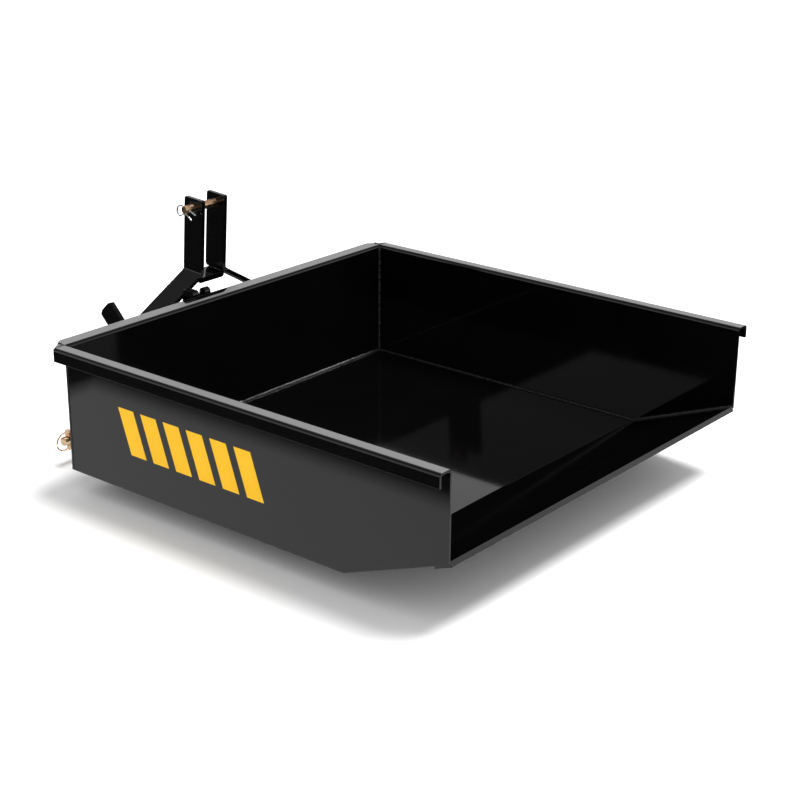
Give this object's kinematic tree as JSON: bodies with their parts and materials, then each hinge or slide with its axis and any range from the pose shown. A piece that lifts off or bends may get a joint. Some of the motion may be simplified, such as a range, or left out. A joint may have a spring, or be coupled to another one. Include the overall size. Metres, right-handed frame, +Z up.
{
  "type": "tipping transport box",
  "caption": "Rear-mounted three-point hitch transport box in black sheet steel, open at the back, tipping on a low pivot and held by a hand-tripped latch.",
  "frame": {"origin": "on the ground, on the underside of the lower cross tube, straight below the top link pin", "axes": "+X towards the right link as seen from behind, +Y towards the tractor, +Z up"},
  "size_m": [1.076, 1.1743, 0.5403],
  "materials": {
    "black_paint": "gloss black powder coat",
    "yellow_zinc": "yellow zinc plating",
    "bright_zinc": "bright zinc plating"
  },
  "bodies": {
    "hitch_frame": {"lower_cross_tube": "black_paint", "frame_rail_left": "black_paint", "frame_rail_right": "black_paint", "pivot_pipe": "black_paint", "mast_bar_left": "black_paint", "mast_bar_right": "black_paint", "mast_cross_plate": "black_paint", "hitch_plate_left": "black_paint", "hitch_plate_right": "black_paint", "frame_gusset_left": "black_paint", "frame_gusset_right": "black_paint", "lower_pin_left": "yellow_zinc", "lower_pin_right": "yellow_zinc", "lower_pin_nut_left": "yellow_zinc", "lower_pin_nut_right": "yellow_zinc", "bearing_inner": "black_paint", "bearing_outer": "black_paint", "torsion_spring": "bright_zinc", "rim_guide": "black_paint"},
    "box": {"floor_sheet": "black_paint", "side_sheet_left": "black_paint", "side_sheet_right": "black_paint", "headboard": "black_paint", "catch_plate": "black_paint", "edge_bar": "black_paint", "rim_corner_left": "black_paint", "rim_corner_right": "black_paint", "floor_stringer_left": "black_paint", "floor_stringer_right": "black_paint", "cross_rib": "black_paint", "pivot_lug_left": "black_paint", "pivot_lug_right": "black_paint", "pivot_shaft": "bright_zinc", "shaft_roll_pins": "bright_zinc"},
    "top_pin": {"top_link_pin": "yellow_zinc"},
    "clip": {"hairpin_clip": "bright_zinc"},
    "trip_latch": {"rockshaft": "bright_zinc", "latch_hook": "black_paint", "trip_lever": "black_paint", "rockshaft_collars": "bright_zinc"},
    "left_linchpin": {"linchpin_left": "yellow_zinc"},
    "left_ring": {"linchpin_ring_left": "yellow_zinc"},
    "right_linchpin": {"linchpin_right": "yellow_zinc"},
    "right_ring": {"linchpin_ring_right": "yellow_zinc"}
  },
  "joints": [
    {"name": "box_tip", "type": "hinge", "parent": "hitch_frame", "child": "box", "pos_m": [0, -0.57, 0.0254], "axis": [1, 0, 0], "range_deg": [0, 50]},
    {"name": "latch_trip", "type": "hinge", "parent": "hitch_frame", "child": "trip_latch", "pos_m": [-0.292, -0.037, 0.278], "axis": [-1, 0, 0], "range_deg": [0, 30], "stiffness_Nm_per_rad": 2, "springref_deg": -17.19},
    {"name": "top_pin_turn", "type": "hinge", "parent": "hitch_frame", "child": "top_pin", "pos_m": [0, 0, 0.517], "axis": [1, 0, 0], "continuous": true},
    {"name": "clip_pull", "type": "slide", "parent": "top_pin", "child": "clip", "axis": [0, 0.9455, 0.3256], "range_m": [0, 0.045]},
    {"name": "left_linchpin_pull", "type": "slide", "parent": "hitch_frame", "child": "left_linchpin", "axis": [0, 0, 1], "range_m": [0, 0.06]},
    {"name": "left_ring_swing", "type": "hinge", "parent": "left_linchpin", "child": "left_ring", "pos_m": [-0.413, 0.033, 0.0734], "axis": [0, 1, 0], "range_deg": [0, 120]},
    {"name": "right_linchpin_pull", "type": "slide", "parent": "hitch_frame", "child": "right_linchpin", "axis": [0, 0, 1], "range_m": [0, 0.06]},
    {"name": "right_ring_swing", "type": "hinge", "parent": "right_linchpin", "child": "right_ring", "pos_m": [0.413, 0.033, 0.0734], "axis": [0, -1, 0], "range_deg": [0, 120]}
  ]
}
